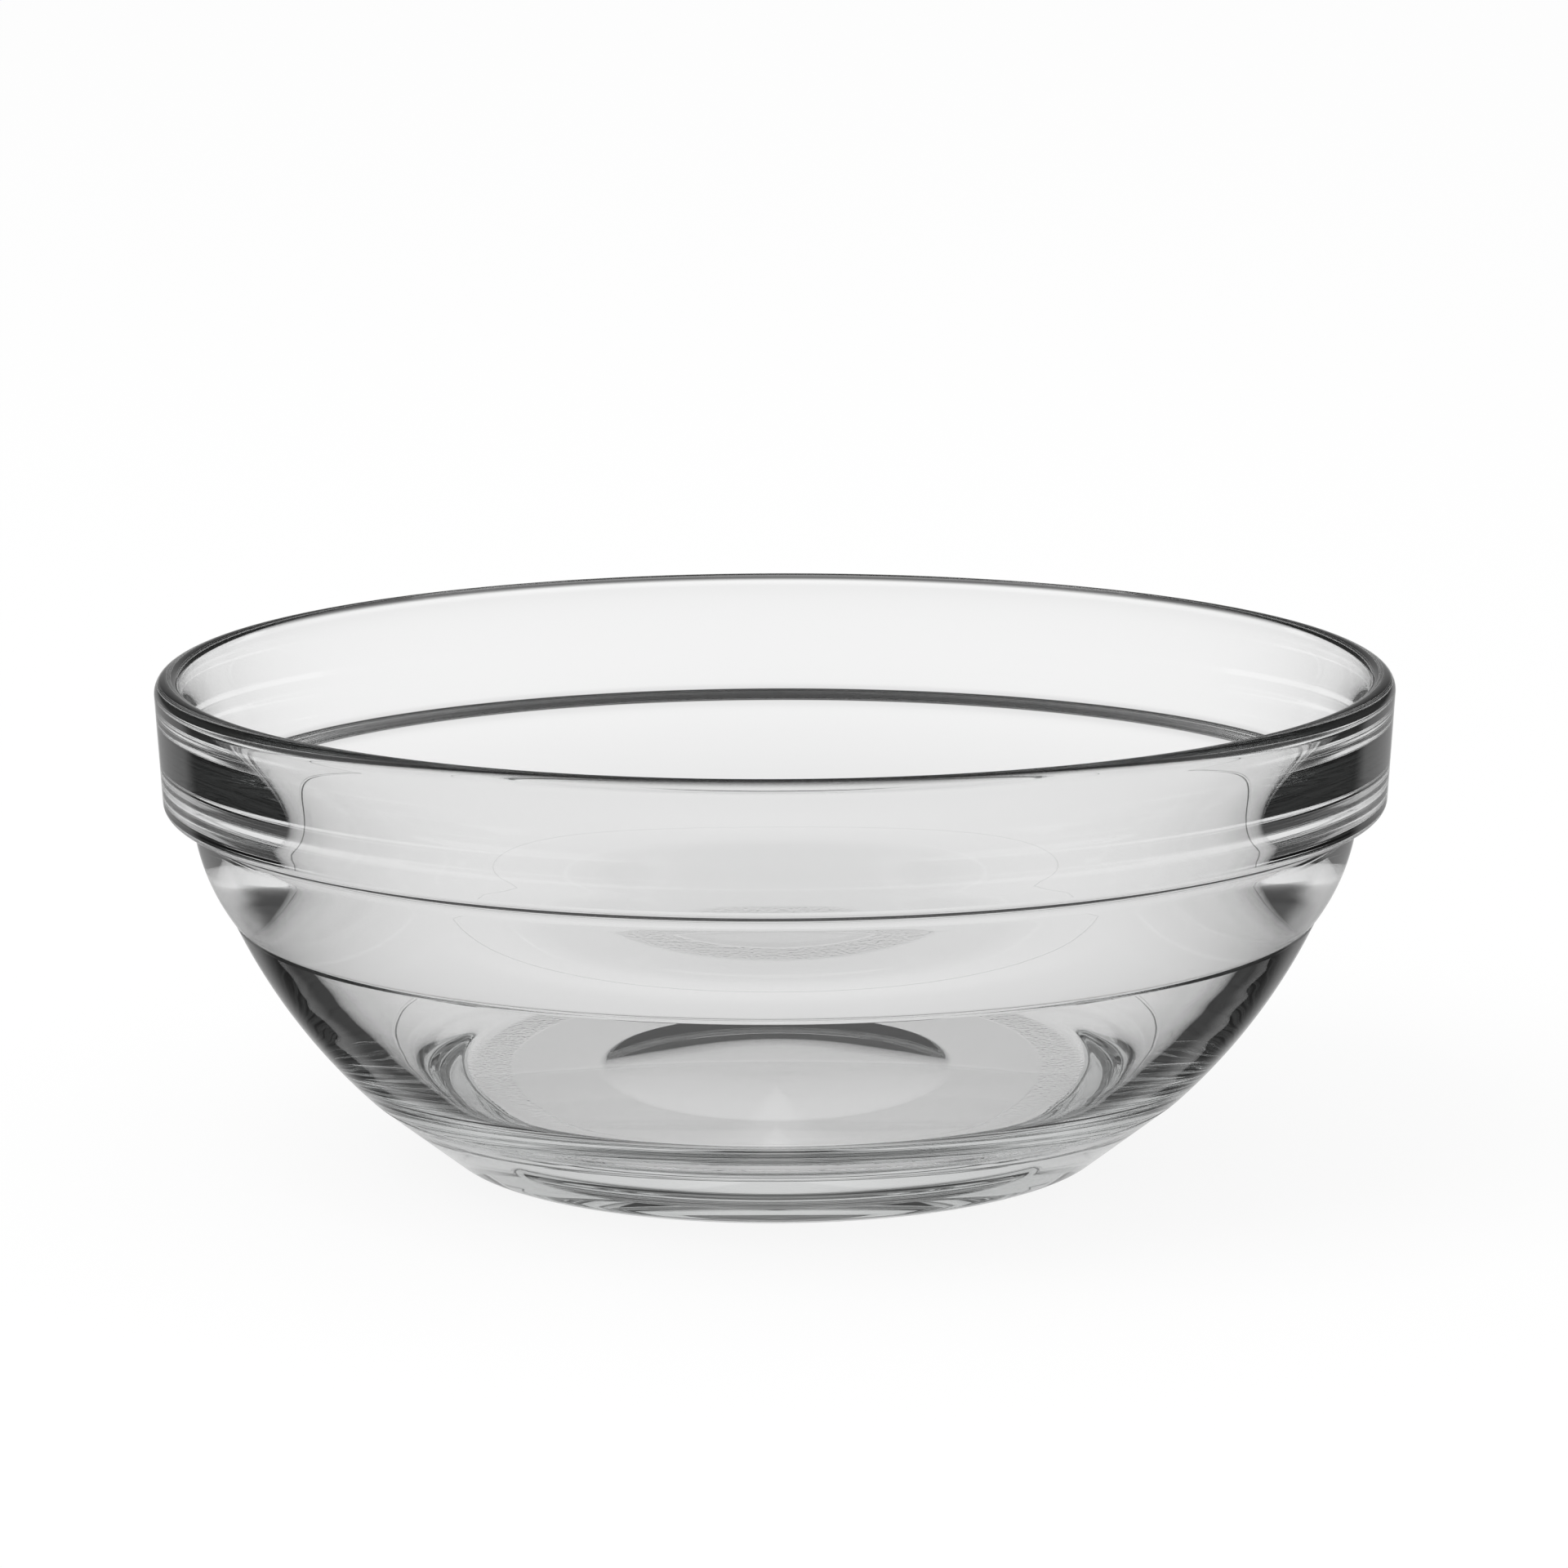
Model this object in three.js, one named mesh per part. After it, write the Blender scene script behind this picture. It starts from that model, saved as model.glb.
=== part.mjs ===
// A salad bowl pressed from clear glass: one solid of revolution about the Z axis.
// Lengths are in millimetres and angles in degrees. The flat foot stands on the plane z = 0.
import * as THREE from "three";

// Overall size
const RIM_DIAMETER = 200;
const HEIGHT = 79.5;

// Rim: an upright band with a rounded lip, narrowing a little towards its lower edge
const RIM_WALL = 4;
const LIP_OUTER_ROUND = 2.4;
const BAND_HEIGHT = 21.4;
const BAND_DRAFT_ANGLE = 3.6;
const BAND_EDGE_ROUND = 1.6;

// Ledge under the band, which sits on the rim of the next bowl in a stack
const LEDGE_WIDTH = 4.5;

// Outside of the wall: shallow rings moulded on a sphere that runs from the ledge to the foot
const UPPER_CREASE_HEIGHT = 40.7;
const LOWER_CREASE_HEIGHT = 11.9;
const UPPER_RING_BULGE = 1.4;
const MIDDLE_RING_BULGE = 1.7;

// Foot: a flat ring round a shallow recess that steepens towards its edge
const FOOT_DIAMETER = 104;
const FOOT_OUTER_ROUND = 5;
const RECESS_DIAMETER = 58;
const RECESS_DEPTH = 1.6;
const RECESS_POWER = 3.2;

// Inside: a flat floor, and a wall whose thickness is measured from the sphere of the outside
const FLOOR_THICKNESS = 13.5;
const FLOOR_ROUND = 21;
const WALL_TOP_THICKNESS = 4;
const WALL_MIDDLE_THICKNESS = 4.9;
const WALL_FOOT_THICKNESS = 5.7;

// Inside of the rim: the wall turns upright above the ledge and runs up to the lip
const TURN_RISE = 2.9;
const TURN_ARM = 5;
const LIP_ARM = 3.6;
const LIP_LEAN_ANGLE = 2.8;

// Fineness of the facets
const TURN_SEGMENTS = 96;
const FACET_DEPTH = 0.1;
const LEAST_ARC_STEPS = 3;
const CURVE_STEPS = 8;

const GLASS = new THREE.MeshStandardMaterial({
  name: "clear_glass",
  color: 0xf2f6f5,
  roughness: 0.03,
  metalness: 0,
  transparent: true,
  opacity: 0.35,
});

const { degToRad, radToDeg } = THREE.MathUtils;

// A point of the half section: its distance from the axis and its height.
function point(radius, height) {
  return new THREE.Vector2(radius, height);
}

// Points along a circular arc about a centre, from one angle to another, both ends included.
// The chords between them lie no deeper than FACET_DEPTH inside the arc.
function arc(centre, radius, fromAngle, toAngle) {
  const stepAngle = 2 * radToDeg(Math.acos(1 - FACET_DEPTH / radius));
  const steps = Math.max(LEAST_ARC_STEPS, Math.ceil(Math.abs(toAngle - fromAngle) / stepAngle));
  const points = [];
  for (let step = 0; step <= steps; step++) {
    const angle = degToRad(fromAngle + ((toAngle - fromAngle) * step) / steps);
    points.push(point(centre.x + radius * Math.cos(angle), centre.y + radius * Math.sin(angle)));
  }
  return points;
}

// Points along the arc from one point up to another that stands out from the chord by bulge.
function bulgedArc(from, to, bulge) {
  const chord = to.clone().sub(from);
  const length = chord.length();
  const radius = (length * length) / (8 * bulge) + bulge / 2;
  const inward = point(-chord.y, chord.x).divideScalar(length);
  const centre = from.clone().add(to).divideScalar(2).addScaledVector(inward, radius - bulge);
  const angleOf = (end) => radToDeg(Math.atan2(end.y - centre.y, end.x - centre.x));
  return arc(centre, radius, angleOf(from), angleOf(to));
}

// Points along a smooth curve whose two inner control points are given.
function easedCurve(from, fromControl, toControl, to) {
  return new THREE.CubicBezierCurve(from, fromControl, toControl, to).getPoints(CURVE_STEPS);
}

// Points of the recess under the base, from its level middle to its edge.
function recessCurve(edgeRadius) {
  const points = [];
  for (let step = 0; step <= CURVE_STEPS; step++) {
    const share = step / CURVE_STEPS;
    points.push(point(edgeRadius * share, RECESS_DEPTH * (1 - share ** RECESS_POWER)));
  }
  return points;
}

// Centre of the circle through three points.
function centreThrough(first, second, third) {
  const toSecond = second.clone().sub(first);
  const toThird = third.clone().sub(first);
  const scale = 1 / (2 * toSecond.cross(toThird));
  return point(
    first.x + scale * (toThird.y * toSecond.lengthSq() - toSecond.y * toThird.lengthSq()),
    first.y + scale * (toSecond.x * toThird.lengthSq() - toThird.x * toSecond.lengthSq()),
  );
}

// Rim band, from its lower edge up to the lip
const draft = degToRad(BAND_DRAFT_ANGLE);
const rimRadius = RIM_DIAMETER / 2;
const ledgeHeight = HEIGHT - BAND_HEIGHT;
const lipInnerRound = RIM_WALL - LIP_OUTER_ROUND;
const lipCentre = point(rimRadius - LIP_OUTER_ROUND, HEIGHT - LIP_OUTER_ROUND);
const lipInnerCentre = point(lipCentre.x, HEIGHT - lipInnerRound);
const bandTop = point(
  lipCentre.x + LIP_OUTER_ROUND * Math.cos(draft),
  lipCentre.y - LIP_OUTER_ROUND * Math.sin(draft),
);
const bandRadiusAt = (height) => bandTop.x - (bandTop.y - height) * Math.tan(draft);
const bandEdgeCentre = point(
  bandRadiusAt(ledgeHeight + BAND_EDGE_ROUND) - BAND_EDGE_ROUND / Math.cos(draft),
  ledgeHeight + BAND_EDGE_ROUND,
);

// Sphere that the wall follows: it meets the ledge's inner edge and the foot
const wallTop = point(bandRadiusAt(ledgeHeight) - LEDGE_WIDTH, ledgeHeight);
const footRadius = FOOT_DIAMETER / 2;
const sphereHeight = (wallTop.x ** 2 + wallTop.y ** 2 - footRadius ** 2) / (2 * wallTop.y);
const sphereRadius = Math.hypot(footRadius, sphereHeight);
const onSphere = (height) => point(Math.sqrt(sphereRadius ** 2 - (sphereHeight - height) ** 2), height);
const upperCrease = onSphere(UPPER_CREASE_HEIGHT);
const lowerCrease = onSphere(LOWER_CREASE_HEIGHT);

// Foot: the lowest ring is a straight cone that rounds into the flat foot
const coneAngle = Math.atan2(lowerCrease.y, lowerCrease.x - footRadius);
const footRoundCentre = point(footRadius - FOOT_OUTER_ROUND * Math.tan(coneAngle / 2), FOOT_OUTER_ROUND);

// Inside wall: an arc through three points that lie under the sphere by the wall's thickness
const topAngle = Math.asin((ledgeHeight - sphereHeight) / sphereRadius);
const footAngle = Math.asin((FLOOR_THICKNESS - sphereHeight) / sphereRadius);
function underSphere(angle, thickness) {
  const distance = sphereRadius - thickness;
  return point(distance * Math.cos(angle), sphereHeight + distance * Math.sin(angle));
}
const insideTop = underSphere(topAngle, WALL_TOP_THICKNESS);
const insideMiddle = underSphere((topAngle + footAngle) / 2, WALL_MIDDLE_THICKNESS);
const insideFoot = underSphere(footAngle, WALL_FOOT_THICKNESS);
const insideCentre = centreThrough(insideTop, insideMiddle, insideFoot);
const insideRadius = insideCentre.distanceTo(insideTop);

// Floor: a wide round from the flat floor into the inside wall
const floorRoundHeight = FLOOR_THICKNESS + FLOOR_ROUND;
const floorRoundDrop = insideCentre.y - floorRoundHeight;
const floorRoundReach = Math.sqrt((insideRadius - FLOOR_ROUND) ** 2 - floorRoundDrop ** 2);
const floorRoundCentre = point(insideCentre.x + floorRoundReach, floorRoundHeight);
const floorRoundAngle = radToDeg(Math.atan2(-floorRoundDrop, floorRoundReach));

// Turn: the inside wall leaves its arc above the ledge and eases into the lip
const turnHeight = ledgeHeight + TURN_RISE;
const turnDrop = insideCentre.y - turnHeight;
const turnReach = Math.sqrt(insideRadius ** 2 - turnDrop ** 2);
const turn = point(insideCentre.x + turnReach, turnHeight);
const turnAngle = radToDeg(Math.atan2(-turnDrop, turnReach));
const turnControl = turn.clone().addScaledVector(point(turnDrop, turnReach).normalize(), TURN_ARM);
const lipInnerEdge = point(lipInnerCentre.x - lipInnerRound, lipInnerCentre.y);
const lipLean = degToRad(LIP_LEAN_ANGLE);
const alongLip = point(Math.sin(lipLean), Math.cos(lipLean));
const lipControl = lipInnerEdge.clone().addScaledVector(alongLip, -LIP_ARM);

const halfSection = [
  ...recessCurve(RECESS_DIAMETER / 2),
  ...arc(footRoundCentre, FOOT_OUTER_ROUND, -90, radToDeg(coneAngle) - 90),
  lowerCrease,
  ...bulgedArc(lowerCrease, upperCrease, MIDDLE_RING_BULGE),
  ...bulgedArc(upperCrease, wallTop, UPPER_RING_BULGE),
  ...arc(bandEdgeCentre, BAND_EDGE_ROUND, -90, -BAND_DRAFT_ANGLE),
  ...arc(lipCentre, LIP_OUTER_ROUND, -BAND_DRAFT_ANGLE, 90),
  ...arc(lipInnerCentre, lipInnerRound, 90, 180),
  ...easedCurve(lipInnerEdge, lipControl, turnControl, turn),
  ...arc(insideCentre, insideRadius, turnAngle, floorRoundAngle),
  ...arc(floorRoundCentre, FLOOR_ROUND, floorRoundAngle, -90),
  point(0, FLOOR_THICKNESS),
];

// Neighbouring stretches share their end points, which are kept once.
const SAME_PLACE = 1e-6;
const profile = halfSection.filter(
  (here, index) => index === 0 || here.distanceTo(halfSection[index - 1]) > SAME_PLACE,
);

const bowlGeometry = new THREE.LatheGeometry(profile, TURN_SEGMENTS);
bowlGeometry.rotateX(Math.PI / 2);

const bowl = new THREE.Mesh(bowlGeometry, GLASS);
bowl.name = "bowl";

const saladBowl = new THREE.Group();
saladBowl.add(bowl);

export default saladBowl;
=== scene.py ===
"""A salad bowl of clear pressed glass on a plain white stage, laid out as a Blender add-on.

The bowl is one piece of glass: its half section is drawn in the XZ plane and spun about the Z axis.
All lengths are in metres, with the foot standing on z = 0.
"""

import math

import bpy
from mathutils import Euler, Matrix, Vector


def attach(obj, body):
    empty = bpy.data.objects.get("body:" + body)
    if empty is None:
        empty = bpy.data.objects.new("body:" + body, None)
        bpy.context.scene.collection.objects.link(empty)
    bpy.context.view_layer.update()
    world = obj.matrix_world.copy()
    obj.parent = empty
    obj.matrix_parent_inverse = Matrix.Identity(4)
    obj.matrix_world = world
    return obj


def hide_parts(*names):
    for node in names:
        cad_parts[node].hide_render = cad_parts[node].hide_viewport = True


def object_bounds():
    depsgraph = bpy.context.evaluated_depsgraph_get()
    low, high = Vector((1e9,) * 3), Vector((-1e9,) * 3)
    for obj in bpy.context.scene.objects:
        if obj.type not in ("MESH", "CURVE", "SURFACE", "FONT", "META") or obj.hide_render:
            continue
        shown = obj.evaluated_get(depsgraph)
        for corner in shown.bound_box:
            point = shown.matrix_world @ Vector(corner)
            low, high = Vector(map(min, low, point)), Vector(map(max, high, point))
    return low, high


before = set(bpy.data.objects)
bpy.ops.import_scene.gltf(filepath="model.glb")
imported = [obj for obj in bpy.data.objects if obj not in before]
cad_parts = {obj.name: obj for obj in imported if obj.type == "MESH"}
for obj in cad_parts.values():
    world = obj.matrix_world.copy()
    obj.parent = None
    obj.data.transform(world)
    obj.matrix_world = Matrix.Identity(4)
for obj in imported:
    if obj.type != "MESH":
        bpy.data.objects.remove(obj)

bl_info = {
    "name": "Salad bowl",
    "version": (1, 0, 0),
    "blender": (4, 5, 0),
    "location": "View3D > Sidebar > Salad bowl",
    "description": "A pressed glass salad bowl and the white stage that it stands on",
    "category": "Object",
}

MM = 0.001
WHITE = (1.0, 1.0, 1.0, 1.0)

# Box of the CAD part, which the sizes of the glass start from
CAD_LOW, CAD_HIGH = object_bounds()
CAD_WIDTH = CAD_HIGH.x - CAD_LOW.x
CAD_HEIGHT = CAD_HIGH.z - CAD_LOW.z

# Fineness of the mesh: steps round the axis, and steps along the half section
TURN_STEPS = 200
FINEST_TURN = math.radians(3.0)
FINEST_STEP = 0.8 * MM
LEAST_STEPS = 4
CORNER_STEPS = 8
SAME_PLACE = 1e-6

# Waves that the mould left on the wall: how often they come per metre along X, Y and Z, their depth,
# and the heights over which they set in above the foot and die out under the ledge
RING_WAVE = (10.0, 10.0, 230.0)
RING_WAVE_DEPTH = 0.032 * MM
RING_WAVE_FOOT = (12.5 * MM, 16.0 * MM)
RING_WAVE_TOP = (44.0 * MM, 56.0 * MM)

# Stipple under the foot ring: how often it comes per metre, its depth, the heights over which it dies out,
# and the distances from the middle of the base over which it sets in
STIPPLE_SCALE = 1300.0
STIPPLE_DEPTH = 0.035 * MM
STIPPLE_TOP = (0.1 * MM, 0.4 * MM)
STIPPLE_START = (44.0 * MM, 44.6 * MM)

# Painted shade on the lip's crest: a grey in the glass's base colour that stands in for the dark line along
# the rim, and the heights over which it sets in
LIP_PAINTED_SHADE = 0.12
LIP_PAINTED_SHADE_START = (78.4 * MM, 79.1 * MM)

# How soft the edges between the light and dark parts of the room are, to each side
SOFT_EDGE = math.radians(4.0)
NEAR_TABLE_SOFT = math.radians(9.0)
GAP_SOFT = math.radians(5.0)
PANEL_SOFT = math.radians(9.0)

# Straight light: the elevations under which it is white again, through one wall and through two,
# and how much of it the gap above the first of them takes
GAP_LOW = math.radians(-54.0)
BELOW_GAP_LOW = math.radians(-74.0)
GAP_SHARE = 0.55

# Light turned once inside the glass: the top of the panel, its level under the horizon,
# and the dimmer part beside it
ONCE_TOP = math.radians(15.0)
BELOW_EYE = 0.6
BESIDE_PANEL = math.radians(40.0)
BESIDE_LOW = math.radians(-22.0)

# Light turned three times: it is white between these elevations, and behind the bowl from the table's end
THRICE_LOW = math.radians(-8.0)
THRICE_TOP = math.radians(18.0)

# Light turned more often: the dark parts of the room behind the bowl, above it and in front of it,
# the side beyond which light turned nine times or more comes in, and the most turns that still bring light
AHEAD = math.radians(30.0)
BEHIND_TOP = math.radians(13.0)
ABOVE_LOW = math.radians(22.0)
ABOVE_TOP = math.radians(50.0)
IN_FRONT = math.radians(90.0)
IN_FRONT_TOP = math.radians(30.0)
SIDEWAYS = math.radians(42.0)
MOST_TURNS = 14

# Counts of turns and walls are compared halfway between whole numbers; one wall is two passes of the skin
HALF = 0.5
ONE_WALL = 2

# Floor, lamp and camera: the floor lies a little under the foot, so that the two faces don't share a plane
FLOOR_GAP = 0.2 * MM
MOST_BOUNCES = 32
LAMP_PLACE = (-0.7, -0.5, 1.4)
LAMP_SIZE = 1.0
LAMP_POWER = 10.0
SENSOR_WIDTH = 36.0
CLIP_START = 0.1
CLIP_END = 30.0


# Properties that a user would change


def length(name, description, millimetres):
    """A property for a length, given in millimetres and kept in metres."""
    return bpy.props.FloatProperty(
        name=name, description=description, default=millimetres * MM, precision=5, unit="LENGTH"
    )


def angle(name, description, degrees):
    """A property for an angle, given in degrees and kept in radians."""
    return bpy.props.FloatProperty(
        name=name, description=description, default=math.radians(degrees), subtype="ANGLE"
    )


def share(name, description, default):
    """A property for a share from 0 to 1."""
    return bpy.props.FloatProperty(
        name=name, description=description, default=default, min=0.0, max=1.0, subtype="FACTOR"
    )


def number(name, description, default):
    """A property for a plain number."""
    return bpy.props.FloatProperty(name=name, description=description, default=default, precision=4)


def colour(name, description, default):
    """A property for a linear colour."""
    return bpy.props.FloatVectorProperty(
        name=name, description=description, default=default, size=3, min=0.0, max=1.0, subtype="COLOR"
    )


class SaladBowlSizes(bpy.types.PropertyGroup):
    """Sizes of the pressed glass."""

    rim_diameter: length("Rim diameter", "Outside diameter at the lip", CAD_WIDTH / MM)
    height: length("Height", "From the foot to the lip", CAD_HEIGHT / MM)
    rim_wall: length("Rim wall", "Thickness of the lip", 4.0)
    lip_outer_round: length("Lip outer round", "Radius of the lip's outer edge", 2.4)
    band_height: length("Band height", "Height of the upright band at the rim", 21.4)
    band_draft: angle("Band draft", "Lean of the band's outside, narrowing downwards", 3.6)
    band_edge_round: length("Band edge round", "Radius of the band's lower edge", 1.6)
    ledge_width: length("Ledge width", "Width of the stacking ledge under the band", 4.5)
    upper_crease_height: length("Upper crease", "Height of the crease between the rings", 40.7)
    lower_crease_height: length("Lower crease", "Height of the crease above the foot", 11.9)
    upper_ring_bulge: length("Upper ring bulge", "How far the upper ring stands out", 1.4)
    middle_ring_bulge: length("Middle ring bulge", "How far the middle ring stands out", 1.7)
    crease_run: length("Crease run", "Half the width of the two creases", 0.4)
    crease_groove: length("Crease groove", "How far the two creases are cut into the wall", 0.13)
    ledge_round: length("Ledge round", "Run of the round from the wall into the ledge", 2.5)
    foot_diameter: length("Foot diameter", "Diameter where the wall would meet the table", 104.0)
    foot_outer_round: length("Foot outer round", "Radius from the wall into the foot", 5.0)
    recess_diameter: length("Recess diameter", "Width of the recess under the base", 58.0)
    recess_depth: length("Recess depth", "Depth of the recess under the base", 1.6)
    recess_round: length("Recess round", "Run of the small round at the recess edge", 0.7)
    recess_power: number("Recess power", "How late the recess curves down to its edge", 3.2)
    floor_thickness: length("Floor thickness", "Height of the inside floor above the table", 13.5)
    floor_round: length("Floor round", "Radius from the floor into the wall", 21.0)
    wall_top: length("Wall at the ledge", "Thickness of the wall under the ledge", 4.0)
    wall_middle: length("Wall in the middle", "Thickness of the wall halfway down", 4.9)
    wall_foot: length("Wall at the foot", "Thickness of the wall at the floor's height", 5.7)
    turn_rise: length("Turn rise", "How far above the ledge the inside turns upright", 2.9)
    turn_arm: length("Turn arm", "How far the turn keeps the lean of the wall", 5.0)
    lip_arm: length("Lip arm", "How far the wall keeps the lean of the lip", 3.6)
    lip_lean: angle("Lip lean", "Lean of the inside wall at the lip", 2.8)


class SaladBowlGlass(bpy.types.PropertyGroup):
    """Look of the glass."""

    refraction: number("Refraction", "Index of refraction of soda-lime glass", 1.52)
    tint: colour("Tint", "Colour that thick glass takes", (0.68, 0.695, 0.69))
    density: number("Density", "How fast the tint builds up, per metre", 6.5)
    roughness: share("Roughness", "Roughness of the fire-polished skin", 0.0)


class SaladBowlStage(bpy.types.PropertyGroup):
    """Light, floor and camera of the stage."""

    floor_size: length("Floor size", "Side of the square floor", 9000.0)
    shadow_share: share("Shadow share", "How much of the floor's white takes shadow", 0.1)
    room_light: number("Room light", "Level of the light from all round", 0.8)
    room_dark: share("Dark of the room", "Level of the dark parts of the room behind the glass", 0.06)
    table_end: angle("Table end", "Elevation up to which only the white table is seen", -22.0)
    backdrop_start: angle("Backdrop start", "Elevation from which only the backdrop is seen", -2.0)
    backdrop_level: share("Backdrop level", "Level of the backdrop beside that of the table", 0.86)
    backdrop_top: angle("Backdrop top", "Elevation at which the white backdrop ends", 7.0)
    near_table: angle("Near table", "Elevation at which light through one wall fades", -35.0)
    table_below: angle("Table below", "Elevation at which light through two walls fades", -61.0)
    second_wall: share("Second wall", "Level of what is seen through two walls", 0.93)
    panel_half_angle: angle("Panel", "Half width of the white panel behind the bowl", 14.0)
    once_level: share("Once turned", "Level of light from the panel that was turned once", 0.35)
    often_level: share("Often turned", "Level of light that was turned three times or more", 0.9)
    lens: number("Lens", "Focal length of the camera, in millimetres", 163.4)
    camera_distance: length("Camera distance", "From the camera to the middle of the rim", 1150.0)
    camera_height: angle("Camera height", "Elevation of the camera above the rim", 9.735)
    camera_tilt: angle("Camera tilt", "How far the camera looks below the middle of the rim", 0.936)
    camera_pan: angle("Camera pan", "How far the camera looks to the left of the rim's middle", -0.072)
    camera_roll: angle("Camera roll", "Turn of the camera about its own axis", -0.185)


# Half section of the glass


def arc(centre, radius, start, end):
    """Points on a circular arc between two angles, both ends included."""
    by_turn = abs(end - start) / FINEST_TURN
    by_length = abs(end - start) * radius / FINEST_STEP
    steps = max(LEAST_STEPS, math.ceil(max(by_turn, by_length)))
    points = []
    for step in range(steps + 1):
        turn = start + (end - start) * step / steps
        points.append(centre + radius * Vector((math.cos(turn), math.sin(turn))))
    return points


def bulged_arc(low, high, bulge):
    """Points on the arc between two points that stands out from its chord by bulge."""
    chord = high - low
    radius = chord.length_squared / (8 * bulge) + bulge / 2
    inward = Vector((-chord.y, chord.x)).normalized()
    centre = (low + high) / 2 + inward * (radius - bulge)
    return arc(centre, radius, direction_of(low - centre), direction_of(high - centre))


def direction_of(arrow):
    """The angle of an arrow in the section, from the outward direction."""
    return math.atan2(arrow.y, arrow.x)


def straight(start, end):
    """Points along a straight line, both ends included."""
    steps = max(LEAST_STEPS, math.ceil((end - start).length / FINEST_STEP))
    return [start.lerp(end, step / steps) for step in range(steps + 1)]


def eased_curve(start, leaving, end, reaching):
    """Points on a cubic curve that leaves and reaches its ends along two arms."""
    steps = max(LEAST_STEPS, math.ceil((end - start).length / FINEST_STEP))
    points = []
    for step in range(steps + 1):
        done = step / steps
        left = 1 - done
        points.append(
            left**3 * start
            + 3 * left**2 * done * (start + leaving)
            + 3 * left * done**2 * (end + reaching)
            + done**3 * end
        )
    return points


def trimmed(points, reach, from_start):
    """The points that stay when a stretch is cut back by reach, with the cut itself as its new end."""
    order = points if from_start else points[::-1]
    gone = 0.0
    for index in range(len(order) - 1):
        step = (order[index + 1] - order[index]).length
        if gone + step > reach:
            cut = order[index].lerp(order[index + 1], (reach - gone) / step)
            kept = [cut] + order[index + 1 :]
            return kept if from_start else kept[::-1]
        gone += step
    raise ValueError("a stretch of the section is shorter than its corner round")


def joined_with_rounds(stretches, corners):
    """One line through all stretches, with a round of its own reach and groove at each corner."""
    line = list(stretches[0])
    for stretch, (reach, groove) in zip(stretches[1:], corners):
        line = trimmed(line, reach, from_start=False)
        rest = trimmed(stretch, reach, from_start=True)
        before, after = line[-1], rest[0]
        onward = (after - before).normalized()
        corner = stretch[0] + 2 * groove * Vector((-onward.y, onward.x))
        for step in range(1, CORNER_STEPS):
            done = step / CORNER_STEPS
            line.append(before.lerp(corner, done).lerp(corner.lerp(after, done), done))
        line.extend(rest)
    return line


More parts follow.
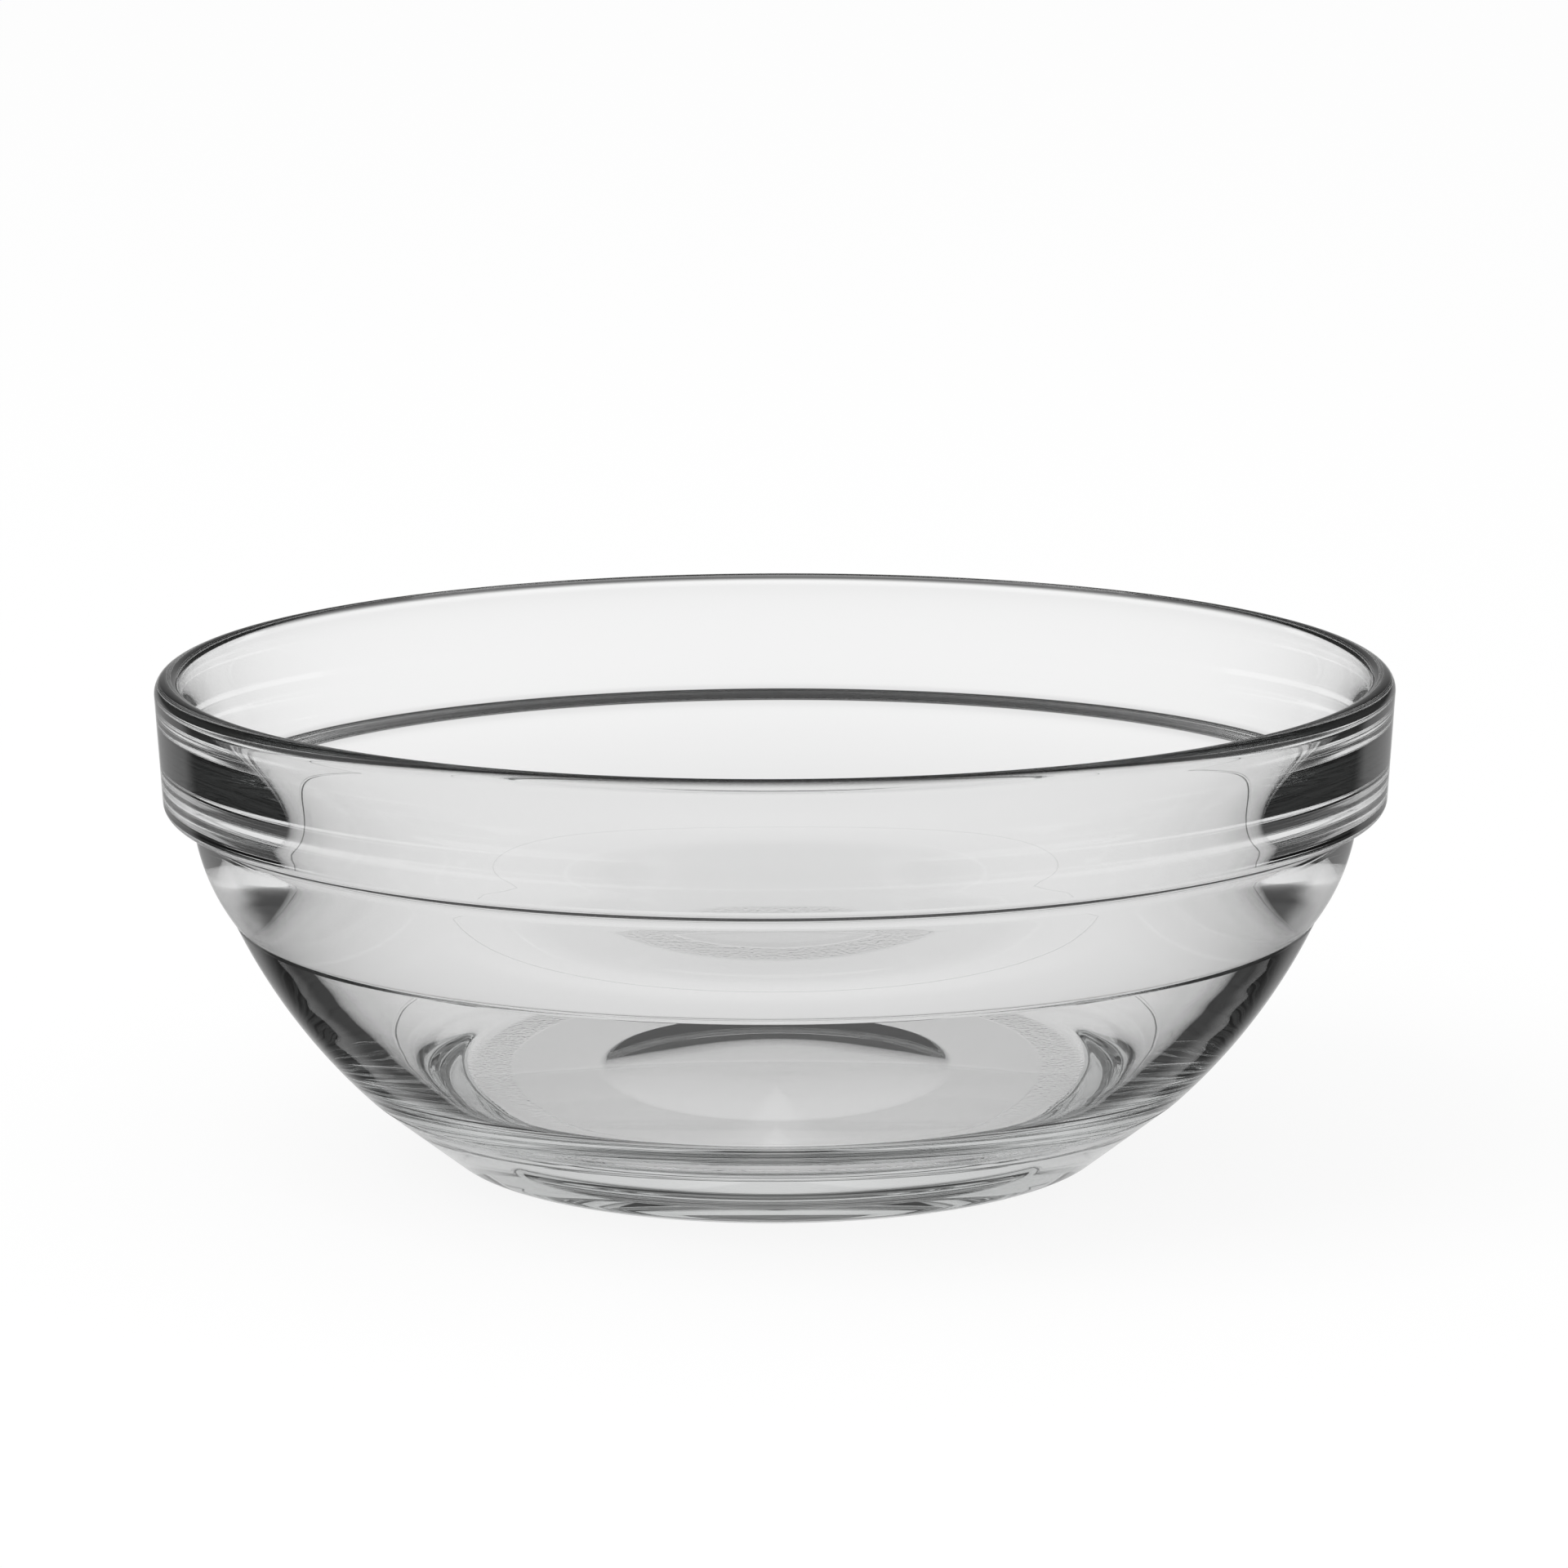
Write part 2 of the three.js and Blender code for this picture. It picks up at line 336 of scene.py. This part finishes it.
def half_section(sizes):
    """The half section from the middle of the base, round the outside, to the middle of the floor."""
    rim_radius = sizes.rim_diameter / 2
    ledge_height = sizes.height - sizes.band_height
    draft = sizes.band_draft

    lip_inner_round = sizes.rim_wall - sizes.lip_outer_round
    lip_centre = Vector((rim_radius - sizes.lip_outer_round, sizes.height - sizes.lip_outer_round))
    lip_inner_centre = Vector((lip_centre.x, sizes.height - lip_inner_round))
    band_top = lip_centre + sizes.lip_outer_round * Vector((math.cos(draft), -math.sin(draft)))

    def band_radius(height):
        return band_top.x - (band_top.y - height) * math.tan(draft)

    edge_round = sizes.band_edge_round
    edge_height = ledge_height + edge_round
    edge_centre = Vector((band_radius(edge_height) - edge_round / math.cos(draft), edge_height))

    wall_top = Vector((band_radius(ledge_height) - sizes.ledge_width, ledge_height))
    foot_radius = sizes.foot_diameter / 2
    sphere_height = (wall_top.length_squared - foot_radius**2) / (2 * wall_top.y)
    sphere_radius = math.hypot(foot_radius, sphere_height)

    def on_sphere(height):
        return Vector((math.sqrt(sphere_radius**2 - (sphere_height - height) ** 2), height))

    upper_crease = on_sphere(sizes.upper_crease_height)
    lower_crease = on_sphere(sizes.lower_crease_height)

    cone = math.atan2(lower_crease.y, lower_crease.x - foot_radius)
    foot_round = sizes.foot_outer_round
    foot_centre = Vector((foot_radius - foot_round * math.tan(cone / 2), foot_round))
    recess_edge = Vector((sizes.recess_diameter / 2, 0.0))

    def under_sphere(turn, thickness):
        reach = sphere_radius - thickness
        return Vector((reach * math.cos(turn), sphere_height + reach * math.sin(turn)))

    top_turn = math.asin((ledge_height - sphere_height) / sphere_radius)
    foot_turn = math.asin((sizes.floor_thickness - sphere_height) / sphere_radius)
    inside_top = under_sphere(top_turn, sizes.wall_top)
    inside_middle = under_sphere((top_turn + foot_turn) / 2, sizes.wall_middle)
    inside_foot = under_sphere(foot_turn, sizes.wall_foot)
    inside_centre = centre_through(inside_top, inside_middle, inside_foot)
    inside_radius = (inside_top - inside_centre).length

    round_height = sizes.floor_thickness + sizes.floor_round
    round_drop = inside_centre.y - round_height
    round_reach = math.sqrt((inside_radius - sizes.floor_round) ** 2 - round_drop**2)
    round_centre = Vector((inside_centre.x + round_reach, round_height))

    turn_drop = inside_centre.y - ledge_height - sizes.turn_rise
    turn_reach = math.sqrt(inside_radius**2 - turn_drop**2)
    turn = inside_centre + Vector((turn_reach, -turn_drop))
    turn_arm = sizes.turn_arm * Vector((turn_drop, turn_reach)) / inside_radius
    lip_inner = lip_inner_centre - Vector((lip_inner_round, 0.0))
    lip_arm = -sizes.lip_arm * Vector((math.sin(sizes.lip_lean), math.cos(sizes.lip_lean)))
    wall_start = direction_of(turn - inside_centre)
    wall_end = direction_of(round_centre - inside_centre)

    quarter = math.pi / 2
    foot_end = foot_centre + foot_round * Vector((math.sin(cone), -math.cos(cone)))
    base = curved_recess(recess_edge.x, sizes.recess_depth, sizes.recess_power)
    foot = straight(recess_edge, Vector((foot_centre.x, 0.0)))
    foot += arc(foot_centre, foot_round, -quarter, cone - quarter)[1:]
    foot += straight(foot_end, lower_crease)[1:]
    middle_ring = bulged_arc(lower_crease, upper_crease, sizes.middle_ring_bulge)
    upper_ring = bulged_arc(upper_crease, wall_top, sizes.upper_ring_bulge)
    rim = straight(wall_top, Vector((edge_centre.x, ledge_height)))
    rim += arc(edge_centre, edge_round, -quarter, -draft)[1:]
    rim += straight(rim[-1], band_top)[1:]
    rim += arc(lip_centre, sizes.lip_outer_round, -draft, quarter)[1:]
    rim += arc(lip_inner_centre, lip_inner_round, quarter, math.pi)[1:]
    rim += eased_curve(lip_inner, lip_arm, turn, turn_arm)[1:]
    rim += arc(inside_centre, inside_radius, wall_start, wall_end)[1:]
    rim += arc(round_centre, sizes.floor_round, wall_end, -quarter)[1:]
    rim += straight(rim[-1], Vector((0.0, sizes.floor_thickness)))[1:]
    stretches = [base, foot, middle_ring, upper_ring, rim]
    recess_corner = (sizes.recess_round, 0.0)
    crease = (sizes.crease_run, sizes.crease_groove)
    ledge_corner = (sizes.ledge_round, 0.0)
    return joined_with_rounds(stretches, [recess_corner, crease, crease, ledge_corner])


def centre_through(first, second, third):
    """The centre of the circle through three points."""
    across = second - first
    onward = third - first
    scale = 0.5 / across.cross(onward)
    return first + scale * Vector(
        (
            onward.y * across.length_squared - across.y * onward.length_squared,
            across.x * onward.length_squared - onward.x * across.length_squared,
        )
    )


def curved_recess(radius, depth, power):
    """Points from the middle of the recess, which is level, to its edge at the foot."""
    steps = math.ceil(radius / FINEST_STEP)
    points = []
    for step in range(steps + 1):
        out = step / steps
        points.append(Vector((radius * out, depth * (1 - out**power))))
    return points


# Materials


class Shade:
    """A shader socket that takes part in Python expressions; each operation adds a Math node."""

    def __init__(self, tree, socket):
        self.tree = tree
        self.socket = socket

    def math(self, operation, first, second):
        node = self.tree.nodes.new("ShaderNodeMath")
        node.operation = operation
        for place, value in enumerate((first, second)):
            plug(self.tree, node.inputs[place], value)
        return Shade(self.tree, node.outputs[0])

    def __add__(self, other):
        return self.math("ADD", self, other)

    def __radd__(self, other):
        return self.math("ADD", other, self)

    def __sub__(self, other):
        return self.math("SUBTRACT", self, other)

    def __rsub__(self, other):
        return self.math("SUBTRACT", other, self)

    def __mul__(self, other):
        return self.math("MULTIPLY", self, other)

    def __rmul__(self, other):
        return self.math("MULTIPLY", other, self)

    def __abs__(self):
        return self.math("ABSOLUTE", self, 0.0)

    def highest(self, other):
        return self.math("MAXIMUM", self, other)

    def direction_over(self, other):
        return self.math("ARCTAN2", self, other)

    def above(self, limit):
        return self.math("GREATER_THAN", self, limit)


def plug(tree, socket, value):
    """Links a shade to a socket, or sets a plain value on it."""
    if isinstance(value, Shade):
        tree.links.new(value.socket, socket)
    else:
        socket.default_value = value


class NodeSheet:
    """An empty node tree and the one method that adds nodes to it."""

    def __init__(self, tree):
        self.tree = tree
        tree.nodes.clear()

    def add(self, kind, settings=None, sockets=None, output=0):
        """Adds a node with its settings and socket values, and returns one of its outputs."""
        node = self.tree.nodes.new(kind)
        for name, value in (settings or {}).items():
            setattr(node, name, value)
        for name, value in (sockets or {}).items():
            plug(self.tree, node.inputs[name], value)
        return Shade(self.tree, node.outputs[output]) if node.outputs else None


def glass_material(look):
    """Clear pressed glass: slightly wavy from the mould, stippled under the foot, with painted shade (a grey
    base colour) on the lip's crest.
    """
    material = bpy.data.materials.new("clear_glass")
    material.use_nodes = True
    sheet = NodeSheet(material.node_tree)
    place = sheet.add("ShaderNodeTexCoord", output="Object")
    height = sheet.add("ShaderNodeSeparateXYZ", {}, {"Vector": place}, "Z")
    stretched = sheet.add("ShaderNodeMapping", {}, {"Vector": place, "Scale": RING_WAVE})
    waves = sheet.add("ShaderNodeTexNoise", {}, {"Vector": stretched, "Scale": 1.0, "Detail": 0.0})
    on_wall = soft_step(sheet, height, *RING_WAVE_FOOT, 0.0, 1.0)
    on_wall = on_wall * soft_step(sheet, height, *RING_WAVE_TOP, 1.0, 0.0)
    stipple = sheet.add("ShaderNodeTexNoise", {}, {"Vector": place, "Scale": STIPPLE_SCALE, "Detail": 1.0})
    out = sheet.add("ShaderNodeVectorMath", {"operation": "LENGTH"}, {0: place}, "Value")
    on_foot = soft_step(sheet, height, *STIPPLE_TOP, 1.0, 0.0)
    on_foot = on_foot * soft_step(sheet, out, *STIPPLE_START, 0.0, 1.0)
    relief = waves * on_wall * RING_WAVE_DEPTH + stipple * on_foot * STIPPLE_DEPTH
    bump = sheet.add("ShaderNodeBump", {}, {"Strength": 1.0, "Distance": 1.0, "Height": relief})
    # Painted shade: the base colour turns grey on the lip's crest and stands in for the dark line along the
    # rim
    clear_with_painted_rim_shade = soft_step(sheet, height, *LIP_PAINTED_SHADE_START, 1.0, LIP_PAINTED_SHADE)
    glass = sheet.add(
        "ShaderNodeBsdfPrincipled",
        {},
        {
            "Base Color": clear_with_painted_rim_shade,
            "Roughness": look.roughness,
            "IOR": look.refraction,
            "Transmission Weight": 1.0,
            "Normal": bump,
        },
    )
    body = sheet.add(
        "ShaderNodeVolumeAbsorption",
        {},
        {"Color": (*look.tint, 1.0), "Density": look.density},
    )
    sheet.add("ShaderNodeOutputMaterial", {}, {"Surface": glass, "Volume": body})
    return material


def floor_material(stage):
    """A white floor that shines by itself, with a share that takes the bowl's shadow."""
    material = bpy.data.materials.new("white_floor")
    material.use_nodes = True
    sheet = NodeSheet(material.node_tree)
    shine = sheet.add("ShaderNodeEmission", {}, {"Color": WHITE, "Strength": 1.0})
    matt = sheet.add("ShaderNodeBsdfDiffuse", {}, {"Color": WHITE})
    both = sheet.add("ShaderNodeMixShader", {}, {"Fac": stage.shadow_share, 1: shine, 2: matt})
    sheet.add("ShaderNodeOutputMaterial", {}, {"Surface": both})
    return material


def soft_step(sheet, value, start, end, low, high):
    """A value that eases from low to high while another goes from start to end."""
    return sheet.add(
        "ShaderNodeMapRange",
        {"interpolation_type": "SMOOTHSTEP"},
        {"Value": value, "From Min": start, "From Max": end, "To Min": low, "To Max": high},
    )


def room_world(stage):
    """A white studio: plain light for the floor, white for the camera, light and dark parts for the glass.

    What shines through the glass is told apart by its direction, by the walls that it passed and by how often
    it was turned inside the glass, which Cycles counts as transmission and glossy depth.
    """
    world = bpy.data.worlds.new("white_studio")
    world.use_nodes = True
    sheet = NodeSheet(world.node_tree)
    way = sheet.add("ShaderNodeTexCoord", output="Generated")
    split = sheet.add("ShaderNodeSeparateXYZ", {}, {"Vector": way}).socket.node.outputs
    across, along, upward = (Shade(sheet.tree, socket) for socket in split)
    path = sheet.add("ShaderNodeLightPath").socket.node.outputs
    seen = Shade(sheet.tree, path["Is Camera Ray"])
    bent = Shade(sheet.tree, path["Is Transmission Ray"]).highest(Shade(sheet.tree, path["Is Glossy Ray"]))
    turns = Shade(sheet.tree, path["Glossy Depth"])
    walls = Shade(sheet.tree, path["Transmission Depth"])
    aside = abs(across.direction_over(along))

    def higher(limit, soft=SOFT_EDGE):
        """Eases from 0 to 1 where the elevation passes a limit."""
        return soft_step(sheet, upward, math.sin(limit - soft), math.sin(limit + soft), 0.0, 1.0)

    def nearer(limit, soft=SOFT_EDGE):
        """Eases from 1 to 0 where the angle to the side of the panel passes a limit."""
        return soft_step(sheet, aside, limit - soft, limit + soft, 1.0, 0.0)

    def turned(least, most):
        """One for light turned from least to most times inside the glass."""
        return turns.above(least - HALF) - turns.above(most + HALF)

    # Straight light
    two_walls = walls.above(ONE_WALL + HALF)
    table = soft_step(
        sheet,
        upward,
        math.sin(stage.table_end),
        math.sin(stage.backdrop_start),
        1.0,
        stage.backdrop_level,
    )
    near_gap = (1.0 - higher(stage.near_table, NEAR_TABLE_SOFT)) * higher(GAP_LOW, GAP_SOFT)
    one_lit = 1.0 - near_gap * GAP_SHARE
    below_gap = (1.0 - higher(stage.table_below)) * higher(BELOW_GAP_LOW)
    two_lit = (1.0 - below_gap) * stage.second_wall
    lit = one_lit + (two_lit - one_lit) * two_walls
    straight_on = turned(0, 0) * lit * table * (1.0 - higher(stage.backdrop_top))

    # Light turned once
    level_with_eye = (1.0 - higher(ONCE_TOP, ONCE_TOP)) * stage.once_level
    below_eye = (1.0 - higher(0.0)) * BELOW_EYE
    panel = nearer(stage.panel_half_angle, PANEL_SOFT) * level_with_eye.highest(below_eye)
    beside = nearer(BESIDE_PANEL) * higher(BESIDE_LOW) * (1.0 - higher(0.0)) * stage.once_level
    once = turned(1, 1) * panel.highest(beside)

    # Light turned three times or more
    ahead = nearer(AHEAD)
    low_enough = higher(THRICE_LOW).highest(ahead * higher(stage.table_end))
    thrice = turned(3, 3) * low_enough * (1.0 - higher(THRICE_TOP))
    behind = ahead * (1.0 - higher(BEHIND_TOP))
    above = ahead * higher(ABOVE_LOW)
    above_low = above * (1.0 - higher(ABOVE_TOP))
    in_front = (1.0 - nearer(IN_FRONT)) * (1.0 - higher(IN_FRONT_TOP))
    often = thrice + turned(4, 4) * (1.0 - behind) * (1.0 - above)
    often = often + turned(5, 7) * (1.0 - above) * (1.0 - in_front)
    often = often + turned(8, 8) * (1.0 - above_low) * (1.0 - in_front)
    often = often + turned(9, MOST_TURNS) * (1.0 - nearer(SIDEWAYS)) * (1.0 - in_front)

    white = straight_on + once + often * stage.often_level
    through = stage.room_dark + (1.0 - stage.room_dark) * white
    level = seen + (1.0 - seen) * (bent * through + (1.0 - bent) * stage.room_light)
    back = sheet.add("ShaderNodeBackground", {}, {"Color": WHITE, "Strength": level})
    sheet.add("ShaderNodeOutputWorld", {}, {"Surface": back})
    return world


# Operators


def spun_piece(name, section, turns):
    """Draws a half section point by point in edit mode and spins it into a closed piece."""
    bpy.ops.object.select_all(action="DESELECT")
    bpy.ops.mesh.primitive_plane_add(size=MM, location=(0.0, 0.0, 0.0))
    piece = bpy.context.object
    piece.name = name
    piece.data.name = name
    bpy.ops.object.mode_set(mode="EDIT")
    bpy.ops.mesh.select_all(action="SELECT")
    bpy.ops.mesh.merge(type="CENTER")
    pen = Vector((0.0, 0.0))
    for index, point in enumerate(section):
        step = point - pen
        move = {"value": (step.x, 0.0, step.y)}
        if index == 0:
            bpy.ops.transform.translate(**move)
        else:
            bpy.ops.mesh.extrude_region_move(TRANSFORM_OT_translate=move)
        pen = point
    bpy.ops.mesh.select_all(action="SELECT")
    bpy.ops.mesh.spin(steps=turns, angle=2 * math.pi, center=(0.0, 0.0, 0.0), axis=(0.0, 0.0, 1.0))
    bpy.ops.mesh.select_all(action="SELECT")
    bpy.ops.mesh.remove_doubles(threshold=SAME_PLACE)
    bpy.ops.mesh.normals_make_consistent(inside=False)
    bpy.ops.object.mode_set(mode="OBJECT")
    bpy.ops.object.shade_smooth()
    return piece


class SALADBOWL_OT_spin_glass(bpy.types.Operator):
    """Draw the half section of the bowl and spin it into one piece of glass"""

    bl_idname = "salad_bowl.spin_glass"
    bl_label = "Spin the glass bowl"

    def execute(self, context):
        section = half_section(context.scene.salad_bowl_sizes)
        bowl = spun_piece("glass_bowl", section, TURN_STEPS)
        bowl.data.materials.append(glass_material(context.scene.salad_bowl_glass))
        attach(bowl, "root")
        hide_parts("bowl")
        return {"FINISHED"}


class SALADBOWL_OT_set_stage(bpy.types.Operator):
    """Lay the white floor, light the room and set up the camera"""

    bl_idname = "salad_bowl.set_stage"
    bl_label = "Set the stage"

    def execute(self, context):
        scene = context.scene
        stage = scene.salad_bowl_stage
        bpy.ops.object.select_all(action="DESELECT")
        bpy.ops.mesh.primitive_plane_add(size=stage.floor_size, location=(0.0, 0.0, -FLOOR_GAP))
        floor = context.object
        floor.name = "floor"
        floor.data.materials.append(floor_material(stage))
        floor.visible_glossy = False
        floor.visible_transmission = False

        scene.world = room_world(stage)
        scene.view_settings.view_transform = "Standard"
        scene.cycles.max_bounces = MOST_BOUNCES
        scene.cycles.glossy_bounces = MOST_BOUNCES
        scene.cycles.transmission_bounces = MOST_BOUNCES

        bpy.ops.object.light_add(type="AREA", location=LAMP_PLACE)
        lamp = context.object
        lamp.name = "softbox"
        lamp.data.size = LAMP_SIZE
        lamp.data.energy = LAMP_POWER
        lamp.rotation_euler = (-Vector(LAMP_PLACE)).to_track_quat("-Z", "Y").to_euler()
        lamp.visible_glossy = False
        lamp.visible_transmission = False

        bpy.ops.object.camera_add()
        camera = context.object
        camera.name = "camera"
        camera.data.lens = stage.lens
        camera.data.sensor_width = SENSOR_WIDTH
        camera.data.clip_start = CLIP_START
        camera.data.clip_end = CLIP_END
        height = stage.camera_height
        rim_height = scene.salad_bowl_sizes.height
        camera.location = stage.camera_distance * Vector((0.0, -math.cos(height), math.sin(height)))
        camera.location.z += rim_height
        looking_down = height + stage.camera_tilt
        facing = Euler((math.pi / 2 - looking_down, 0.0, stage.camera_pan)).to_matrix()
        roll = Matrix.Rotation(stage.camera_roll, 3, "Z")
        camera.rotation_euler = (facing @ roll).to_euler()
        scene.camera = camera
        return {"FINISHED"}


class SALADBOWL_PT_sidebar(bpy.types.Panel):
    """The steps and sizes of the salad bowl"""

    bl_idname = "SALADBOWL_PT_sidebar"
    bl_label = "Salad bowl"
    bl_space_type = "VIEW_3D"
    bl_region_type = "UI"
    bl_category = "Salad bowl"

    def draw(self, context):
        layout = self.layout
        for step in STEPS:
            layout.operator(step.bl_idname)
        for group_name in GROUPS:
            group = getattr(context.scene, group_name)
            box = layout.box()
            for name in group.__annotations__:
                box.prop(group, name)


GROUPS = {
    "salad_bowl_sizes": SaladBowlSizes,
    "salad_bowl_glass": SaladBowlGlass,
    "salad_bowl_stage": SaladBowlStage,
}
STEPS = (SALADBOWL_OT_spin_glass, SALADBOWL_OT_set_stage)


def register():
    for name, group in GROUPS.items():
        bpy.utils.register_class(group)
        setattr(bpy.types.Scene, name, bpy.props.PointerProperty(type=group))
    for step in STEPS:
        bpy.utils.register_class(step)
    bpy.utils.register_class(SALADBOWL_PT_sidebar)


def unregister():
    bpy.utils.unregister_class(SALADBOWL_PT_sidebar)
    for step in reversed(STEPS):
        bpy.utils.unregister_class(step)
    for name, group in GROUPS.items():
        delattr(bpy.types.Scene, name)
        bpy.utils.unregister_class(group)


def main():
    register()
    bpy.ops.salad_bowl.spin_glass()
    bpy.ops.salad_bowl.set_stage()


if __name__ == "__main__":
    main()
